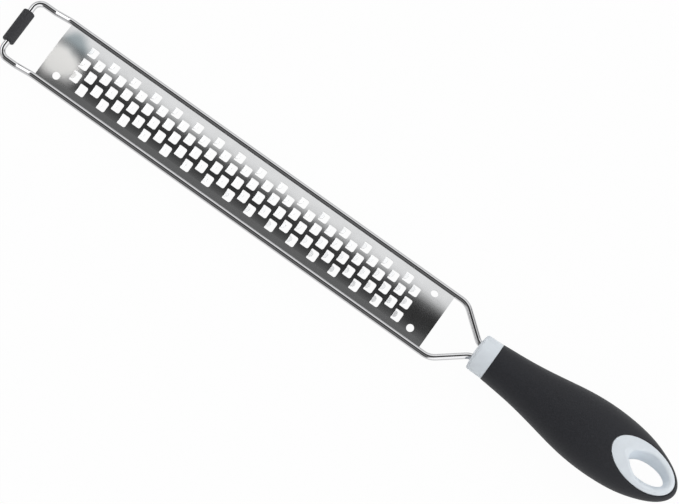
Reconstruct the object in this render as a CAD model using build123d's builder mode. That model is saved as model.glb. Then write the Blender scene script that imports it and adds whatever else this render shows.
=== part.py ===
from build123d import *
import os
from math import asin, atan2, cos, hypot, radians, sin, sqrt, tan

# A rasp zester: an arched, punched steel blade welded between the rails of a wire frame,
# with a rubber foot at the tip and a moulded handle with a hanging eye.
# Sizes are in millimetres. It lies on a worktop, on its foot and on the belly of its handle.
# X runs along it from the foot to the handle's end, Y across it and Z up.
# The origin is on the worktop, under the middle of its length.

# Blade: stainless sheet, arched across its width, with rows of punched teeth
blade_length = 196.45
sheet_thickness = 0.5
arch_radius = 42.0
columns = 16
rows = 6
tooth_pitch = 10.76
row_pitch = 3.25
first_tooth_inset = 14.6
opening_length = 3.9
opening_width = 4.7
opening_nose_radius = 0.85
opening_root_radius = 0.3
tongue_width = 2.8
tongue_nose_radius = 1.1
tongue_reach = 1.75
tongue_angle = 29.0
tongue_bend_radius = 1.0
tongue_edge_thickness = 0.2
tongue_root_lap = 0.4
blade_hole_diameter = 3.3
blade_hole_inset = 7.7
blade_hole_offset = 9.2

# Frame: one bent wire, with rails, cross wire, shoulders and tangs
wire_diameter = 2.8
rail_spacing = 28.8
blade_seat_angle = 20.0
shoulder_setback = 5.8
shoulder_angle = 39.5
shoulder_radius = 8.0
tip_window = 17.75
tip_corner_radius = 4.0
tip_dip_inset = 1.0
tip_dip_length = 8.0
tip_dip_drop = 2.8
tip_dip_radius = 6.0
tang_spacing = 6.4
tang_radius = 5.0
tang_length = 50.0
swage_length = 9.0
swage_width = 4.4
swage_thickness = 1.6
swage_inset = 8.0
swage_corner_radius = 1.2

# Foot: rubber sleeve on the cross wire
foot_diameter = 5.5
foot_length = 15.8
foot_edge_radius = 0.5
foot_flat_depth = 0.25

# Handle: rigid core with a collar and an eye ring, under a soft grip
collar_length = 8.6
collar_front_diameter = 16.7
collar_rear_diameter = 17.0
collar_dome = 0.9
collar_edge_radius = 1.2
collar_lead = 0.3
neck_diameter = 17.2
neck_edge_radius = 0.15
grip_length = 93.95
belly_inset = 38.8
belly_width = 31.0
belly_thickness = 25.0
end_droop = 3.2
droop_growth = 1.3
grip_wall = 3.2
rib_count = 3
rib_width = 2.4
rib_height = 1.2
ring_length = 31.9
ring_width = 18.4
ring_inset = 2.2
ring_edge_radius = 0.3
window_edge_radius = 0.4
eye_length = 17.7
eye_width = 7.8
eye_end_wall = 4.3
eye_draft_angle = 25.0
eye_waist_radius = 4.0
eye_lip_radius = 1.2

# Shape of the handle between neck and belly: share of that length, share of the growth in
# width and thickness
front_shares = [
    (0.00, 0.000),
    (0.10, 0.073),
    (0.22, 0.162),
    (0.34, 0.285),
    (0.46, 0.443),
    (0.58, 0.620),
    (0.70, 0.793),
    (0.82, 0.924),
    (0.94, 0.991),
]

# Shape of the handle from belly to end: share of that length, share of the belly's width,
# share of its thickness
rear_shares = [
    (0.00, 1.000, 1.000),
    (0.18, 0.987, 0.965),
    (0.35, 0.945, 0.900),
    (0.52, 0.860, 0.815),
    (0.68, 0.727, 0.705),
    (0.80, 0.592, 0.590),
    (0.89, 0.448, 0.460),
    (0.955, 0.290, 0.310),
    (0.99, 0.138, 0.155),
]

# Heights at which the eye is drawn, as shares of half the belly's thickness
eye_height_shares = [-1.0, -0.5, -0.2, 0.0, 0.2, 0.5, 1.0]

# The hidden spine stops at this entry of the rear list, inside the eye ring. Its ribs stand at
# every second entry of the front list
spine_end_entry = 4
first_rib_entry = 2
rib_entry_step = 2

# One overrun serves every cut that goes right through
cut_overrun = 5.0

# Half sizes and places along the tool, from the tip to the handle's end
wire_radius = wire_diameter / 2
foot_radius = foot_diameter / 2
rail_half = rail_spacing / 2
tang_half = tang_spacing / 2
neck_radius = neck_diameter / 2
handle_length = collar_length + grip_length
shoulder_run = (rail_half - tang_half) / tan(radians(shoulder_angle))
frame_reach = tip_window + blade_length + shoulder_setback + shoulder_run
overall_length = foot_radius + frame_reach + collar_lead + handle_length

cross_wire_x = foot_radius - overall_length / 2
blade_start_x = cross_wire_x + tip_window
blade_end_x = blade_start_x + blade_length
shoulder_x = blade_end_x + shoulder_setback
tang_corner_x = shoulder_x + shoulder_run
collar_x = tang_corner_x + collar_lead
grip_x = collar_x + collar_length
handle_end_x = grip_x + grip_length
belly_x = handle_end_x - belly_inset
front_length = belly_x - grip_x

# The tool lies with its frame sloping up from the foot, which stands on its flat, to the
# handle, whose belly touches the worktop
belly_droop = end_droop * (front_length / grip_length) ** droop_growth
belly_depth = belly_droop + belly_thickness / 2
foot_stand = foot_radius - foot_flat_depth
rest_run = belly_x - cross_wire_x
rest_fall = belly_depth - tip_dip_drop
slope = atan2(rest_fall, rest_run) - asin(foot_stand / hypot(rest_run, rest_fall))
axis_height = belly_depth * cos(slope) - belly_x * sin(slope)
tip_place = cross_wire_x * cos(slope) + tip_dip_drop * sin(slope) - foot_radius
end_place = handle_end_x * cos(slope) + end_droop * sin(slope)
tool = Plane(
    origin=(-(tip_place + end_place) / 2, 0, axis_height),
    x_dir=(cos(slope), 0, sin(slope)),
    z_dir=(-sin(slope), 0, cos(slope)),
)


def across(x, z=0):
    """Plane square to the tool's length at x, with its own X along Y."""
    middle = tool.from_local_coords(Vector(x, 0, z))
    return Plane(origin=middle, x_dir=tool.y_dir, z_dir=tool.x_dir)


def lengthwise(x=0, z=0):
    """Upright plane along the middle of the tool, centred at x and z."""
    middle = tool.from_local_coords(Vector(x, 0, z))
    return Plane(origin=middle, x_dir=tool.x_dir, z_dir=-tool.y_dir)


def middle_height(x):
    """Height of the handle's middle line over the tool's own, which it leaves by the droop."""
    return -end_droop * ((x - grip_x) / grip_length) ** droop_growth


os.makedirs("parts", exist_ok=True)

# Frame wire: from one tang's end round the tip and back to the other
tang_end_x = collar_x + tang_length
dip_start_x = blade_start_x - tip_dip_inset
wire_half_points = [
    (tang_end_x, tang_half, 0),
    (tang_corner_x, tang_half, 0),
    (shoulder_x, rail_half, 0),
    (dip_start_x, rail_half, 0),
    (dip_start_x - tip_dip_length, rail_half, -tip_dip_drop),
    (cross_wire_x, rail_half, -tip_dip_drop),
]
wire_points = wire_half_points + [(x, -y, z) for x, y, z in reversed(wire_half_points)]
half_radii = [tang_radius, shoulder_radius, tip_dip_radius, tip_dip_radius, tip_corner_radius]
swage_x = tang_end_x - swage_inset - swage_length / 2

with BuildPart() as frame_wire:
    with BuildLine(tool):
        FilletPolyline(wire_points, radius=half_radii + half_radii[::-1])
    with BuildSketch(across(tang_end_x)):
        with Locations((tang_half, 0)):
            Circle(wire_radius)
    sweep()
    # The swaged flats: the round wire is pressed thin there, and spreads
    with BuildSketch(lengthwise()):
        with Locations((swage_x, 0)):
            Rectangle(swage_length, wire_diameter)
            Rectangle(swage_length, swage_thickness, mode=Mode.SUBTRACT)
    extrude(amount=rail_half, both=True, mode=Mode.SUBTRACT)
    with BuildSketch(tool.offset(-swage_thickness / 2)):
        with Locations((swage_x, tang_half), (swage_x, -tang_half)):
            RectangleRounded(swage_length, swage_width, swage_corner_radius)
    extrude(amount=swage_thickness)
frame_wire.part.label = "frame_wire"
export_step(frame_wire.part, "parts/frame_wire.step")

# Rubber foot: a sleeve on the cross wire, flat underneath where it stands
foot_plane = lengthwise(cross_wire_x, -tip_dip_drop)

with BuildPart() as tip_foot:
    with BuildSketch(foot_plane):
        Circle(foot_radius)
    extrude(amount=foot_length / 2, both=True)
    fillet(tip_foot.edges().filter_by(GeomType.CIRCLE), foot_edge_radius)
    with BuildSketch(foot_plane):
        Circle(wire_radius)
    extrude(amount=foot_length / 2, both=True, mode=Mode.SUBTRACT)
    split(bisect_by=Plane.XY, keep=Keep.TOP)
tip_foot.part.label = "tip_foot"
export_step(tip_foot.part, "parts/tip_foot.step")

# One raised tooth. The sheet turns up at its opening's edge, runs straight and thins to its edge
turn = radians(tongue_angle)
straight_rise = (tongue_reach - tongue_bend_radius * sin(turn)) * tan(turn)
edge_bottom = Vector(tongue_reach, tongue_bend_radius * (1 - cos(turn)) + straight_rise)
edge_top = edge_bottom + Vector(-sin(turn), cos(turn)) * tongue_edge_thickness

with BuildPart() as tooth:
    with BuildSketch(Plane.XZ):
        with BuildLine():
            Line((-tongue_root_lap, 0), (0, 0))
            under_bend = JernArc((0, 0), (1, 0), tongue_bend_radius, tongue_angle)
            Line(under_bend @ 1, edge_bottom)
            Line(edge_bottom, edge_top)
            over_radius = tongue_bend_radius - sheet_thickness
            over_bend = JernArc((0, sheet_thickness), (1, 0), over_radius, tongue_angle)
            Line(edge_top, over_bend @ 1)
            Line((0, sheet_thickness), (-tongue_root_lap, sheet_thickness))
            Line((-tongue_root_lap, sheet_thickness), (-tongue_root_lap, 0))
        make_face()
    extrude(amount=tongue_width / 2, both=True)
    # Its outline from above: straight sides and a rounded nose
    with BuildSketch():
        with Locations(((tongue_reach - tongue_root_lap) / 2, 0)):
            outline = Rectangle(tongue_reach + tongue_root_lap, tongue_width)
        fillet(outline.vertices().group_by(Axis.X)[-1], tongue_nose_radius)
    extrude(amount=cut_overrun, mode=Mode.INTERSECT)

# Blade: the arch's middle surface meets each rail at the seat angle
seat_y = rail_half - wire_radius * cos(radians(blade_seat_angle))
seat_z = wire_radius * sin(radians(blade_seat_angle))
arch_z = seat_z - sqrt(arch_radius**2 - seat_y**2)
sheet_outer = arch_radius + sheet_thickness / 2
sheet_inner = arch_radius - sheet_thickness / 2
first_tooth_x = blade_start_x + first_tooth_inset


def on_arch(x, along_arch, depth=0):
    """Plane parallel to the blade's outer face, a depth below it, at a distance round the arch."""
    lean = along_arch / arch_radius
    out = Vector(0, sin(lean), cos(lean))
    place = Vector(x, 0, arch_z) + out * (sheet_outer - depth)
    return Plane(tool.location * Plane(origin=place, x_dir=(1, 0, 0), z_dir=out).location)


with BuildPart() as blade:
    # The sheet's cross-section is the top of a thin ring, from rail to rail
    with BuildSketch(across(blade_start_x)):
        with Locations((0, arch_z)):
            Circle(sheet_outer)
            Circle(sheet_inner, mode=Mode.SUBTRACT)
            top_part = (Align.CENTER, Align.MIN)
            Rectangle(rail_spacing, 2 * arch_radius, align=top_part, mode=Mode.INTERSECT)
    extrude(amount=blade_length)
    # The long edges are trimmed to the rails that they are welded to
    with BuildSketch(across(blade_start_x)):
        with Locations((rail_half, 0), (-rail_half, 0)):
            Circle(wire_radius)
    extrude(amount=blade_length, mode=Mode.SUBTRACT)
    # Openings, row by row. Every second row is half a pitch further along
    tooth_planes = []
    for row in range(rows):
        row_place = (row - (rows - 1) / 2) * row_pitch
        row_start = first_tooth_x + tooth_pitch / 2 * ((row + 1) % 2)
        centres = [row_start + column * tooth_pitch for column in range(columns)]
        with BuildSketch(on_arch(0, row_place, sheet_thickness / 2)):
            with Locations([(x, 0) for x in centres]):
                RectangleRounded(opening_length, opening_width, opening_nose_radius)
            root_length = opening_length - opening_nose_radius
            with Locations([(x - opening_nose_radius / 2, 0) for x in centres]):
                RectangleRounded(root_length, opening_width, opening_root_radius)
        extrude(amount=sheet_thickness, both=True, mode=Mode.SUBTRACT)
        tooth_planes += [
            on_arch(x - opening_length / 2, row_place, sheet_thickness) for x in centres
        ]
    with Locations(tooth_planes):
        add(tooth.part)
    # Round holes: one at the tip end, two at the handle end
    for hole_x, hole_place in (
        (blade_start_x + blade_hole_inset, -blade_hole_offset),
        (blade_end_x - blade_hole_inset, -blade_hole_offset),
        (blade_end_x - blade_hole_inset, blade_hole_offset),
    ):
        with BuildSketch(on_arch(hole_x, hole_place, sheet_thickness / 2)):
            Circle(blade_hole_diameter / 2)
        extrude(amount=sheet_thickness, both=True, mode=Mode.SUBTRACT)
blade.part.label = "blade"
export_step(blade.part, "parts/blade.step")

# Stations of the handle: place along the tool, half width, half thickness, height of the middle
stations = []
for place_share, growth_share in front_shares:
    half_width = neck_radius + (belly_width / 2 - neck_radius) * growth_share
    half_height = neck_radius + (belly_thickness / 2 - neck_radius) * growth_share
    station_x = grip_x + front_length * place_share
    stations.append((station_x, half_width, half_height, middle_height(station_x)))
for place_share, width_share, height_share in rear_shares:
    half_width = belly_width / 2 * width_share
    half_height = belly_thickness / 2 * height_share
    station_x = belly_x + belly_inset * place_share
    stations.append((station_x, half_width, half_height, middle_height(station_x)))
spine_stations = stations[: len(front_shares) + spine_end_entry + 1]
rib_stations = stations[first_rib_entry::rib_entry_step][:rib_count]

# The outer form that the grip and the eye ring share
with BuildPart() as handle_form:
    for station_x, half_width, half_height, middle_z in stations:
        with BuildSketch(across(station_x, middle_z)):
            Ellipse(half_width, half_height)
    end_point = tool.from_local_coords(Vector(handle_end_x, 0, -end_droop))
    loft(handle_form.pending_faces + [Vertex(end_point)])

# Eye ring: an oval column through the handle, its outer edges rounded off at both faces
ring_x = handle_end_x - ring_inset - ring_length / 2
eye_x = handle_end_x - ring_inset - eye_end_wall - eye_length / 2

with BuildPart() as eye_ring:
    with BuildSketch(tool.offset(-belly_thickness)):
        with Locations((ring_x, 0)):
            Ellipse(ring_length / 2, ring_width / 2)
    extrude(amount=2 * belly_thickness)
    add(handle_form.part, mode=Mode.INTERSECT)
    rim_faces = eye_ring.faces().sort_by(Axis.Z)
    ring_rims = rim_faces[-1].edges() + rim_faces[0].edges()
    fillet(ring_rims, ring_edge_radius)

# Hanging eye: an oval hole, narrowest at mid height, whose wall leans out towards both faces of
# the handle and comes close to the draft angle there
eye_middle = middle_height(eye_x)
eye_slope = tan(radians(eye_draft_angle))
waist_growth = eye_waist_radius * eye_slope**2

with BuildPart() as eye_hole:
    for height_share in eye_height_shares:
        height = height_share * belly_thickness / 2
        growth = hypot(waist_growth, eye_slope * height) - waist_growth
        with BuildSketch(tool.offset(eye_middle + height)):
            with Locations((eye_x, 0)):
                Ellipse(eye_length / 2 + growth, eye_width / 2 + growth)
    loft()

# Core: collar, spine with its keying ribs, and the eye ring, in one moulding
with BuildPart() as handle_core:
    with BuildSketch(lengthwise(collar_x)):
        with BuildLine():
            collar_corner = (collar_dome, collar_front_diameter / 2)
            collar_back = (collar_length, collar_rear_diameter / 2)
            TangentArc((0, 0), collar_corner, tangent=(0, 1))
            Polyline(collar_corner, collar_back, (collar_length, 0), (0, 0))
        collar = make_face()
        corner = collar.vertices().sort_by_distance(collar_corner)[0]
        fillet(corner, collar_edge_radius)
    revolve(axis=Axis(tool.origin, tool.x_dir))
    for station_x, half_width, half_height, middle_z in spine_stations:
        with BuildSketch(across(station_x, middle_z)):
            Ellipse(half_width - grip_wall, half_height - grip_wall)
    loft()
    rib_recess = grip_wall - rib_height
    for station_x, half_width, half_height, middle_z in rib_stations:
        with BuildSketch(across(station_x, middle_z)):
            Ellipse(half_width - rib_recess, half_height - rib_recess)
        extrude(amount=rib_width)
    add(eye_ring.part)
    add(eye_hole.part, mode=Mode.SUBTRACT)
    eye_rims = handle_core.edges(Select.LAST).sort_by(SortBy.LENGTH)[-2:]
    fillet(eye_rims, eye_lip_radius)
    add(frame_wire.part, mode=Mode.SUBTRACT)
handle_core.part.label = "handle_core"
export_step(handle_core.part, "parts/handle_core.step")

# Soft grip: the outer form, less everything that the core fills
with BuildPart() as soft_grip:
    add(handle_form.part)
    fillet(soft_grip.faces().sort_by(Axis.X)[0].edges(), neck_edge_radius)
    with BuildSketch(tool.offset(-belly_thickness)):
        with Locations((ring_x, 0)):
            Ellipse(ring_length / 2, ring_width / 2)
    extrude(amount=2 * belly_thickness, mode=Mode.SUBTRACT)
    window_wall = soft_grip.faces(Select.LAST)
    fillet(window_wall.edges().filter_by(GeomType.LINE, reverse=True), window_edge_radius)
    add(handle_core.part, mode=Mode.SUBTRACT)
    add(frame_wire.part, mode=Mode.SUBTRACT)
soft_grip.part.label = "soft_grip"
export_step(soft_grip.part, "parts/soft_grip.step")
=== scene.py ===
import math

import bpy
from mathutils import Matrix, Vector

# A rasp zester on a white table: an arched, punched steel blade in a bent wire frame, a rubber
# foot on the frame's tip, and a light grey handle under a soft black grip.
# Everything is in metres. X runs along the tool from its tip, Y across it and Z up.
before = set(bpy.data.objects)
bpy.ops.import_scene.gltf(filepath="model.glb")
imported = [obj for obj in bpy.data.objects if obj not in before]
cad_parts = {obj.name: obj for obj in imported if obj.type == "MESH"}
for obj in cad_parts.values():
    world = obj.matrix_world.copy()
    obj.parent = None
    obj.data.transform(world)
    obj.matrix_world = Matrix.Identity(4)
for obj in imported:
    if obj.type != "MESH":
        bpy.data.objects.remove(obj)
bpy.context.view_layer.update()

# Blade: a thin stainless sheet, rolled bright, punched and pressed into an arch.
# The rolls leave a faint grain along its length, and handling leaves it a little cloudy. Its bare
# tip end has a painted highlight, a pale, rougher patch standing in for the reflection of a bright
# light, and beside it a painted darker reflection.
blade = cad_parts["blade"]
mm = 0.001
blade_colour = (0.57, 0.575, 0.58, 1)
blade_clouded_colour = (0.54, 0.545, 0.55, 1)
blade_roughness = 0.17
blade_clouded_roughness = 0.21
grain_width = 0.12 * mm
grain_length = 14 * mm
grain_depth = 0.003 * mm
grain_fineness = 3
blade_cloud_size = 7 * mm
cloud_fineness = 4
cloud_raggedness = 0.6
clean_below, cloudy_above = 0.35, 0.68
# Painted highlight: a near-white, rougher patch on the bare tip end, standing in for the reflection
# of a bright light there.
painted_highlight_colour = (0.95, 0.945, 0.93, 1)
painted_highlight_roughness = 0.7
painted_highlight_middle = (-144 * mm, -3.5 * mm, 0)
painted_highlight_reach = (15 * mm, 10.7 * mm, 1)
# Painted darker reflection: a dark blue-grey patch beside the tip end's highlight, standing in for
# a dim part of the room reflected there.
painted_dark_reflection_colour = (0.27, 0.305, 0.32, 1)
painted_dark_reflection_middle = (-142.5 * mm, 6 * mm, 0)
painted_dark_reflection_reach = (9 * mm, 8 * mm, 1)
patch_full_share = 0.35
patch_waver = 3.5 * mm
patch_wave_density = 0.11 / mm
patch_wave_fineness = 1
patch_wave_middle = 0.5


def feed(tree, socket, value):
    """Joins an earlier node's output to a socket, or sets a plain value on it."""
    if isinstance(value, bpy.types.NodeSocket):
        tree.links.new(value, socket)
    else:
        socket.default_value = value


def place_step(tree, operation, first, second):
    """A step on places, or on sizes along the three axes."""
    node = tree.nodes.new("ShaderNodeVectorMath")
    node.operation = operation
    feed(tree, node.inputs[0], first)
    feed(tree, node.inputs["Scale" if operation == "SCALE" else 1], second)
    return node.outputs["Vector"]


def place_on_piece(tree, counted_in=None):
    """The place on the piece, in metres or counted in an effect's own size."""
    place = tree.nodes.new("ShaderNodeTexCoord").outputs["Object"]
    if counted_in is None:
        return place
    return place_step(tree, "DIVIDE", place, counted_in)


def uneven_over(tree, place, fineness, density=1):
    """Smooth uneven values over a place, with more small detail at a higher fineness."""
    noise = tree.nodes.new("ShaderNodeTexNoise")
    noise.inputs["Scale"].default_value = density
    noise.inputs["Detail"].default_value = fineness
    tree.links.new(place, noise.inputs["Vector"])
    return noise


def share_between(tree, value, start, end, curve="LINEAR", falling=False):
    """A share that rises from 0 to 1, or falls from 1 to 0, as the value goes from start to end."""
    node = tree.nodes.new("ShaderNodeMapRange")
    node.interpolation_type = curve
    feed(tree, node.inputs["Value"], value)
    feed(tree, node.inputs["From Min"], start)
    feed(tree, node.inputs["From Max"], end)
    node.inputs["To Min"].default_value = 1 if falling else 0
    node.inputs["To Max"].default_value = 0 if falling else 1
    return node.outputs["Result"]


def mixed(tree, mask, first, second):
    """A number or colour that goes with the mask from the first to the second."""
    node = tree.nodes.new("ShaderNodeMix")
    node.data_type = "RGBA" if isinstance(second, tuple) else "FLOAT"
    in_use = [socket for socket in node.inputs if socket.enabled]
    for socket, value in zip(in_use, (mask, first, second)):
        feed(tree, socket, value)
    return next(socket for socket in node.outputs if socket.enabled)


def new_group(name, inputs, outputs):
    """An empty effect with its named inputs, numbers or places, and outputs, all values."""
    group = bpy.data.node_groups.new(name, "ShaderNodeTree")
    for socket_name, value in inputs:
        kind = "NodeSocketVector" if isinstance(value, tuple) else "NodeSocketFloat"
        socket = group.interface.new_socket(socket_name, in_out="INPUT", socket_type=kind)
        socket.default_value = value
    for socket_name in outputs:
        group.interface.new_socket(socket_name, in_out="OUTPUT", socket_type="NodeSocketFloat")
    given = group.nodes.new("NodeGroupInput").outputs
    made = group.nodes.new("NodeGroupOutput").inputs
    return group, given, made


def make_lengthwise_grain():
    """Fine lines that run along X, as rolling and drawing leave them on steel."""
    group, given, made = new_group(
        "lengthwise_grain", (("Line Width", grain_width), ("Line Length", grain_length)), ("Lines",)
    )
    sizes = group.nodes.new("ShaderNodeCombineXYZ")
    for axis, size in (("X", "Line Length"), ("Y", "Line Width"), ("Z", "Line Width")):
        group.links.new(given[size], sizes.inputs[axis])
    stretched = place_on_piece(group, counted_in=sizes.outputs["Vector"])
    lines = uneven_over(group, stretched, grain_fineness)
    group.links.new(lines.outputs["Fac"], made["Lines"])
    return group


def make_handling_clouds():
    """Soft clouds, as fingers and washing leave them. 0 is clean and 1 is cloudy."""
    group, given, made = new_group(
        "handling_clouds", (("Cloud Size", blade_cloud_size),), ("Clouds",)
    )
    place = place_on_piece(group, counted_in=given["Cloud Size"])
    clouds = uneven_over(group, place, cloud_fineness)
    clouds.inputs["Roughness"].default_value = cloud_raggedness
    cloudy = share_between(group, clouds.outputs["Fac"], clean_below, cloudy_above)
    group.links.new(cloudy, made["Clouds"])
    return group


def make_soft_patch():
    """One oval patch: 1 in its middle, fading out at a wavy edge, seen from above."""
    group, given, made = new_group(
        "soft_patch",
        (("Middle", painted_highlight_middle), ("Reach", painted_highlight_reach), ("Waver", patch_waver)),
        ("Patch",),
    )
    place = place_on_piece(group)
    waves = uneven_over(group, place, patch_wave_fineness, patch_wave_density)
    centred = place_step(group, "SUBTRACT", waves.outputs["Color"], (patch_wave_middle,) * 3)
    wavy_place = place_step(
        group, "ADD", place, place_step(group, "SCALE", centred, given["Waver"])
    )
    from_middle = place_step(group, "SUBTRACT", wavy_place, given["Middle"])
    from_above = place_step(group, "MULTIPLY", from_middle, (1, 1, 0))
    length = group.nodes.new("ShaderNodeVectorMath")
    length.operation = "LENGTH"
    group.links.new(place_step(group, "DIVIDE", from_above, given["Reach"]), length.inputs[0])
    patch = share_between(
        group, length.outputs["Value"], patch_full_share, 1, "SMOOTHSTEP", falling=True
    )
    group.links.new(patch, made["Patch"])
    return group


lengthwise_grain = make_lengthwise_grain()
handling_clouds = make_handling_clouds()
soft_patch = make_soft_patch()


class Finish:
    """A node material with its Principled shader, and the steps that build one up."""

    def __init__(self, name, roughness):
        self.material = bpy.data.materials.new(name)
        self.material.use_nodes = True
        self.tree = self.material.node_tree
        self.tree.nodes.clear()
        self.shader = self.tree.nodes.new("ShaderNodeBsdfPrincipled")
        output = self.tree.nodes.new("ShaderNodeOutputMaterial")
        self.tree.links.new(self.shader.outputs["BSDF"], output.inputs["Surface"])
        self.shader.inputs["Roughness"].default_value = roughness

    def effect(self, group, **values):
        """Places an effect, with its own values, and gives its outputs."""
        node = self.tree.nodes.new("ShaderNodeGroup")
        node.node_tree = group
        for name, value in values.items():
            node.inputs[name.replace("_", " ")].default_value = value
        return node.outputs

    def vary(self, quality, mask, first, second):
        """A quality goes with the mask from the first, or from what it was, to the second."""
        socket = self.shader.inputs[quality]
        if first is None:
            first = socket.links[0].from_socket
        self.tree.links.new(mixed(self.tree, mask, first, second), socket)

    def raise_by(self, height, depth, under=None):
        """Surface relief of a real depth, over an earlier one if there is one."""
        bump = self.tree.nodes.new("ShaderNodeBump")
        bump.inputs["Distance"].default_value = depth
        self.tree.links.new(height, bump.inputs["Height"])
        if under:
            self.tree.links.new(under, bump.inputs["Normal"])
        self.tree.links.new(bump.outputs["Normal"], self.shader.inputs["Normal"])
        return bump.outputs["Normal"]

    def dress(self, node):
        """Gives a CAD node's surface this finish."""
        for index in range(len(node.data.materials)):
            node.data.materials[index] = self.material


blade_steel = Finish("blade_steel", blade_roughness)
blade_steel.shader.inputs["Metallic"].default_value = 1
lines = blade_steel.effect(lengthwise_grain)["Lines"]
clouds = blade_steel.effect(handling_clouds)["Clouds"]
# The tip end's painted highlight, and beside it its painted darker reflection.
painted_highlight = blade_steel.effect(soft_patch)["Patch"]
painted_dark_reflection = blade_steel.effect(soft_patch, Middle=painted_dark_reflection_middle, Reach=painted_dark_reflection_reach)["Patch"]
blade_steel.vary("Base Color", clouds, blade_colour, blade_clouded_colour)
# The colour is darkened for the painted darker reflection, then whitened for the painted highlight.
blade_steel.vary("Base Color", painted_dark_reflection, None, painted_dark_reflection_colour)
blade_steel.vary("Base Color", painted_highlight, None, painted_highlight_colour)
blade_steel.vary("Roughness", clouds, blade_roughness, blade_clouded_roughness)
blade_steel.vary("Roughness", painted_highlight, None, painted_highlight_roughness)
blade_steel.raise_by(lines, grain_depth)
blade_steel.dress(blade)

# Frame wire: one length of bright stainless wire, bent round the tip and into the handle.
# Drawing through a die leaves long, very fine lines on it.
frame_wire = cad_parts["frame_wire"]
wire_colour = (0.64, 0.64, 0.65, 1)
wire_dull_colour = (0.55, 0.55, 0.56, 1)
wire_roughness = 0.08
wire_dull_roughness = 0.16
draw_line_width = 0.08 * mm
draw_line_length = 22 * mm
draw_line_depth = 0.004 * mm

wire_steel = Finish("wire_steel", wire_roughness)
wire_steel.shader.inputs["Metallic"].default_value = 1
lines = wire_steel.effect(
    lengthwise_grain, Line_Width=draw_line_width, Line_Length=draw_line_length
)["Lines"]
wire_steel.vary("Base Color", lines, wire_dull_colour, wire_colour)
wire_steel.vary("Roughness", lines, wire_dull_roughness, wire_roughness)
wire_steel.raise_by(lines, draw_line_depth)
wire_steel.dress(frame_wire)

# Tip foot: a black rubber sleeve, pushed over the cross wire before the frame is bent.
# It is matt from its mould, with a little grey dust held in the pores.
tip_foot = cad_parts["tip_foot"]
foot_colour = (0.033, 0.033, 0.037, 1)
foot_dusty_colour = (0.06, 0.06, 0.066, 1)
foot_roughness = 0.62
foot_dusty_roughness = 0.8
foot_gloss = 0.3
foot_pore_size = 0.22 * mm
foot_pore_depth = 0.03 * mm
dust_density = 0.6
dust_fineness = 3
dust_free_below, dusty_above = 0.4, 0.66


def number_step(tree, operation, *values):
    """A sum, product or other step on numbers."""
    node = tree.nodes.new("ShaderNodeMath")
    node.operation = operation
    for socket, value in zip(node.inputs, values):
        feed(tree, socket, value)
    return node.outputs["Value"]


def make_moulded_texture():
    """The fine, even roughness of a sparked mould: the pores' height, and where dust stays."""
    group, given, made = new_group(
        "moulded_texture", (("Pore Size", foot_pore_size),), ("Height", "Dust")
    )
    place = place_on_piece(group, counted_in=given["Pore Size"])
    pores = group.nodes.new("ShaderNodeTexVoronoi")
    pores.feature = "SMOOTH_F1"
    pores.inputs["Scale"].default_value = 1
    group.links.new(place, pores.inputs["Vector"])
    uneven = uneven_over(group, place, dust_fineness, dust_density).outputs["Fac"]
    height = number_step(group, "ADD", pores.outputs["Distance"], uneven)
    group.links.new(height, made["Height"])
    group.links.new(share_between(group, uneven, dust_free_below, dusty_above), made["Dust"])
    return group


moulded_texture = make_moulded_texture()
foot_rubber = Finish("foot_rubber", foot_roughness)
foot_rubber.shader.inputs["Specular IOR Level"].default_value = foot_gloss
texture = foot_rubber.effect(moulded_texture)
foot_rubber.vary("Base Color", texture["Dust"], foot_colour, foot_dusty_colour)
foot_rubber.vary("Roughness", texture["Dust"], foot_roughness, foot_dusty_roughness)
foot_rubber.raise_by(texture["Height"], foot_pore_depth)
foot_rubber.dress(tip_foot)

# Handle core: a light grey moulding cast round the wire's ends, seen as the collar and the ring.
# Its satin skin has a fine texture, and the two halves of the mould meet along its sides, at a
# middle line that slopes up with the frame and droops towards the handle's end.
handle_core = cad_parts["handle_core"]
core_colour = (0.79, 0.845, 0.895, 1)
core_worn_colour = (0.745, 0.795, 0.845, 1)
core_roughness = 0.42
core_worn_roughness = 0.52
core_pore_size = 0.3 * mm
core_pore_depth = 0.008 * mm
core_cloud_size = 5 * mm
parting_line_width = 0.16 * mm
parting_line_height = 0.05 * mm
handle_middle_height = 10.23 * mm
handle_middle_slope = 0.02957
handle_droop = 3.2 * mm
droop_growth = 1.3
droop_start = 75.5 * mm
droop_end = 169.4 * mm


def make_parting_line():
    """A thin raised line on the handle's sloping, drooping middle, where a mould opens."""
    group, given, made = new_group(
        "parting_line", (("Line Width", parting_line_width),), ("Line",)
    )
    split = group.nodes.new("ShaderNodeSeparateXYZ")
    group.links.new(place_on_piece(group), split.inputs["Vector"])
    along, height = split.outputs["X"], split.outputs["Z"]
    sloping = number_step(group, "MULTIPLY_ADD", along, handle_middle_slope, handle_middle_height)
    droop_share = share_between(group, along, droop_start, droop_end)
    droop_growing = number_step(group, "POWER", droop_share, droop_growth)
    middle = number_step(group, "MULTIPLY_ADD", droop_growing, -handle_droop, sloping)
    distance = number_step(group, "ABSOLUTE", number_step(group, "SUBTRACT", height, middle))
    line = share_between(group, distance, 0, given["Line Width"], "SMOOTHSTEP", falling=True)
    group.links.new(line, made["Line"])
    return group


parting_line = make_parting_line()
core_plastic = Finish("core_plastic", core_roughness)
clouds = core_plastic.effect(handling_clouds, Cloud_Size=core_cloud_size)["Clouds"]
texture = core_plastic.effect(moulded_texture, Pore_Size=core_pore_size)
line = core_plastic.effect(parting_line)["Line"]
core_plastic.vary("Base Color", clouds, core_colour, core_worn_colour)
core_plastic.vary("Roughness", clouds, core_roughness, core_worn_roughness)
relief = core_plastic.raise_by(texture["Height"], core_pore_depth)
core_plastic.raise_by(line, parting_line_height, under=relief)
core_plastic.dress(handle_core)

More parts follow.
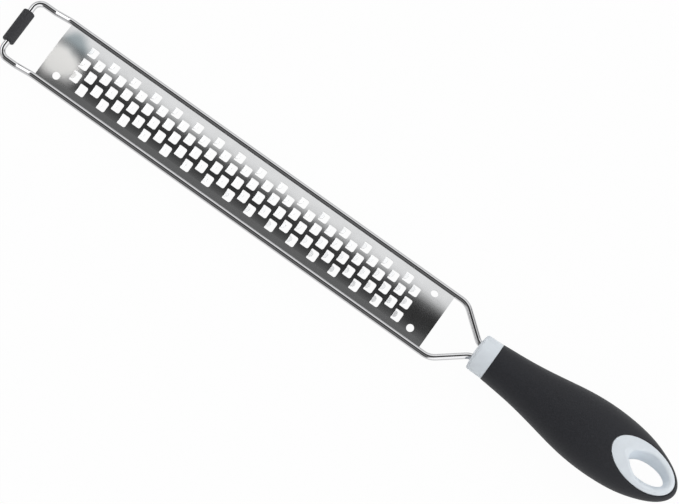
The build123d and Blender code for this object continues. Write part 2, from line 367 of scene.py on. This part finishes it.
# Soft grip: a black, slightly yielding skin, moulded over the core. It has the finest pebble,
# a parting line along its sides, and is a little greyer where a hand has dulled it.
soft_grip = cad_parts["soft_grip"]
grip_colour = (0.0158, 0.0168, 0.0208, 1)
grip_dusty_colour = (0.0248, 0.0258, 0.031, 1)
grip_roughness = 0.6
grip_dusty_roughness = 0.75
grip_gloss = 0.27
grip_sheen = 0.1
grip_pore_size = 0.34 * mm
grip_pore_depth = 0.035 * mm

grip_rubber = Finish("grip_rubber", grip_roughness)
grip_rubber.shader.inputs["Specular IOR Level"].default_value = grip_gloss
grip_rubber.shader.inputs["Sheen Weight"].default_value = grip_sheen
texture = grip_rubber.effect(moulded_texture, Pore_Size=grip_pore_size)
line = grip_rubber.effect(parting_line)["Line"]
grip_rubber.vary("Base Color", texture["Dust"], grip_colour, grip_dusty_colour)
grip_rubber.vary("Roughness", texture["Dust"], grip_roughness, grip_dusty_roughness)
relief = grip_rubber.raise_by(texture["Height"], grip_pore_depth)
grip_rubber.raise_by(line, parting_line_height, under=relief)
grip_rubber.dress(soft_grip)

# Table: a plain white top, which catches the tool's faint shadow.
# The camera, gloss and clear things see most of it as an even white.
table_size = 12.0
table_colour = (0.8, 0.8, 0.8, 1)
table_white_share = 0.97

table_mesh = bpy.data.meshes.new("table")
half = table_size / 2
corners = [(-half, -half, 0), (half, -half, 0), (half, half, 0), (-half, half, 0)]
table_mesh.from_pydata(corners, [], [(0, 1, 2, 3)])
table = bpy.data.objects.new("table", table_mesh)
bpy.context.scene.collection.objects.link(table)

table_white = bpy.data.materials.new("table_white")
table_white.use_nodes = True
tree = table_white.node_tree
tree.nodes.clear()
matt = tree.nodes.new("ShaderNodeBsdfDiffuse")
matt.inputs["Color"].default_value = table_colour
glow = tree.nodes.new("ShaderNodeEmission")
rays = tree.nodes.new("ShaderNodeLightPath").outputs
seen = number_step(tree, "MAXIMUM", rays["Is Camera Ray"], rays["Is Glossy Ray"])
seen = number_step(tree, "MAXIMUM", seen, rays["Is Transmission Ray"])
blend = tree.nodes.new("ShaderNodeMixShader")
tree.links.new(number_step(tree, "MULTIPLY", seen, table_white_share), blend.inputs["Fac"])
tree.links.new(matt.outputs["BSDF"], blend.inputs[1])
tree.links.new(glow.outputs["Emission"], blend.inputs[2])
output = tree.nodes.new("ShaderNodeOutputMaterial")
tree.links.new(blend.outputs["Shader"], output.inputs["Surface"])
table.data.materials.append(table_white)

# Light: a studio room of soft walls, built as the world, so that bright metal shows them all.
# It is dark overhead, white on the far side and beyond the handle, except for a dark far corner
# there, and dark grey on the near side, with a lighter corner towards the tip. The wall beyond
# the tip is grey, begins at a slanting edge and has a strong light high up.
scene = bpy.context.scene
scene.view_settings.view_transform = "Standard"

# Brightness of the room by how far a direction leans to the far side: its Y, then its level
far_levels = [
    (-1.0, 0.12), (-0.75, 0.15), (-0.5, 0.24), (-0.27, 0.2), (-0.17, 0.12), (-0.1, 0.06),
    (0.0, 0.036), (0.1, 0.032), (0.28, 0.042), (0.36, 0.08), (0.41, 0.18), (0.47, 0.42),
    (0.51, 0.7), (0.55, 0.95), (0.61, 1.27), (0.82, 1.27), (0.9, 0.85), (1.0, 0.7),
]
handle_wall_level = 1.52
handle_wall_edges = (0.25, 0.4)
far_corner_level = 0.25
far_corner_edges = (0.55, 0.7)
near_corner_level = 0.75
near_corner_edges = (0.35, 0.55)
near_corner_drop = (0.3, 0.5)
tip_wall_level = 0.45
tip_wall_edges = (0.58, 0.62)
tip_wall_slant = 0.12
tip_light_level = 2.4
tip_light_edges = (0.4, 0.6)

world = bpy.data.worlds.new("room")
scene.world = world
world.use_nodes = True
tree = world.node_tree
tree.nodes.clear()
split = tree.nodes.new("ShaderNodeSeparateXYZ")
direction = tree.nodes.new("ShaderNodeTexCoord").outputs["Generated"]
tree.links.new(direction, split.inputs["Vector"])
to_handle, to_far, to_top = split.outputs["X"], split.outputs["Y"], split.outputs["Z"]
to_tip = number_step(tree, "MULTIPLY", to_handle, -1)
to_near = number_step(tree, "MULTIPLY", to_far, -1)


def beyond(way, edges):
    """1 past both edges of a direction's lean that way, 0 short of them, and soft between."""
    return share_between(tree, way, *edges, "SMOOTHSTEP")


far_ramp = tree.nodes.new("ShaderNodeValToRGB")
while len(far_ramp.color_ramp.elements) < len(far_levels):
    far_ramp.color_ramp.elements.new(0.5)
for element, (lean, level) in zip(far_ramp.color_ramp.elements, far_levels):
    element.position = (lean + 1) / 2
    element.color = (level, level, level, 1)
tree.links.new(share_between(tree, to_far, -1, 1), far_ramp.inputs["Fac"])
at_handle = beyond(to_handle, handle_wall_edges)
room = mixed(tree, at_handle, far_ramp.outputs["Color"], handle_wall_level)
far_corner = number_step(tree, "MULTIPLY", at_handle, beyond(to_far, far_corner_edges))
room = mixed(tree, far_corner, room, far_corner_level)
near_corner = number_step(
    tree, "MULTIPLY", beyond(to_tip, near_corner_edges), beyond(to_near, near_corner_drop)
)
room = mixed(tree, near_corner, room, near_corner_level)
slanted = number_step(tree, "ADD", to_tip, number_step(tree, "MULTIPLY", to_far, tip_wall_slant))
at_tip = beyond(slanted, tip_wall_edges)
room = mixed(tree, at_tip, room, tip_wall_level)
tip_light = number_step(tree, "MULTIPLY", at_tip, beyond(to_top, tip_light_edges))
room = mixed(tree, tip_light, room, tip_light_level)
background = tree.nodes.new("ShaderNodeBackground")
background.inputs["Color"].default_value = (1, 1, 1, 1)
tree.links.new(room, background.inputs["Strength"])
output = tree.nodes.new("ShaderNodeOutputWorld")
tree.links.new(background.outputs["Background"], output.inputs["Surface"])

# Camera: high over the tool, leaning to its near side, with its length running down to the right.
# A long lens from two metres away keeps the rails almost parallel.
camera_lean = math.radians(16)
camera_turn = math.radians(35.939)
camera_distance = 2
camera_aim = Vector((-2.781 * mm, 0.393 * mm, 10.1 * mm))
film_width = 36
focal_length = 254.4

back = Vector((0, -math.sin(camera_lean), math.cos(camera_lean)))
level_up = Vector((0, math.cos(camera_lean), math.sin(camera_lean)))
right = Vector((1, 0, 0)) * math.cos(camera_turn) + level_up * math.sin(camera_turn)
up = back.cross(right)
lens = bpy.data.cameras.new("camera")
lens.sensor_width = film_width
lens.lens = focal_length
camera = bpy.data.objects.new("camera", lens)
turned = Matrix((right, up, back)).transposed().to_4x4()
camera.matrix_world = Matrix.Translation(camera_aim + back * camera_distance) @ turned
scene.collection.objects.link(camera)
scene.camera = camera
